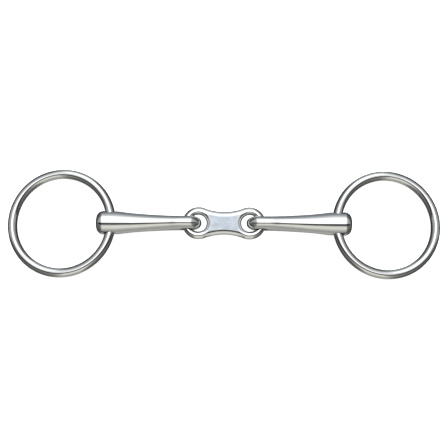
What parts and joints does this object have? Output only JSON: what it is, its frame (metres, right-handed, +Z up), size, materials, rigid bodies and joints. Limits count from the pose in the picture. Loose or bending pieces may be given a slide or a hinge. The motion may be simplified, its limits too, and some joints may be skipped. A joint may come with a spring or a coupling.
{
  "type": "snaffle bit",
  "caption": "Loose-ring snaffle bit: a flat centre link hinged between tapered mouthpiece bars, with a round ring for rein and cheekpiece swinging in each outer end.",
  "frame": {"origin": "on the surface the bit lies on, under the middle of the centre link", "axes": "+X along the bit towards the right ring, +Y across it in the plane of the rings, +Z up"},
  "size_m": [0.269, 0.0678, 0.0152],
  "materials": {
    "link_steel": "stainless steel, satin on the flat faces and polished on the rounded edges",
    "bar_steel": "stainless steel, mirror polished",
    "ring_steel": "stainless steel, mirror polished"
  },
  "bodies": {
    "centre_link": {"centre_link": "link_steel"},
    "cannon_left": {"cannon_left": "bar_steel"},
    "cannon_right": {"cannon_right": "bar_steel"},
    "ring_left": {"ring_left": "ring_steel"},
    "ring_right": {"ring_right": "ring_steel"}
  },
  "joints": [
    {"name": "fold_left", "type": "hinge", "parent": "centre_link", "child": "cannon_left", "pos_m": [-0.0228, 0, 0.00759], "axis": [0, 1, 0], "range_deg": [-100, 100]},
    {"name": "fold_right", "type": "hinge", "parent": "centre_link", "child": "cannon_right", "pos_m": [0.0228, 0, 0.00759], "axis": [0, -1, 0], "range_deg": [-100, 100]},
    {"name": "swing_left", "type": "hinge", "parent": "cannon_left", "child": "ring_left", "pos_m": [-0.0702, 0, 0.00732], "axis": [0, 1, 0], "range_deg": [-165, 165]},
    {"name": "swing_right", "type": "hinge", "parent": "cannon_right", "child": "ring_right", "pos_m": [0.0702, 0, 0.00732], "axis": [0, -1, 0], "range_deg": [-165, 165]}
  ]
}
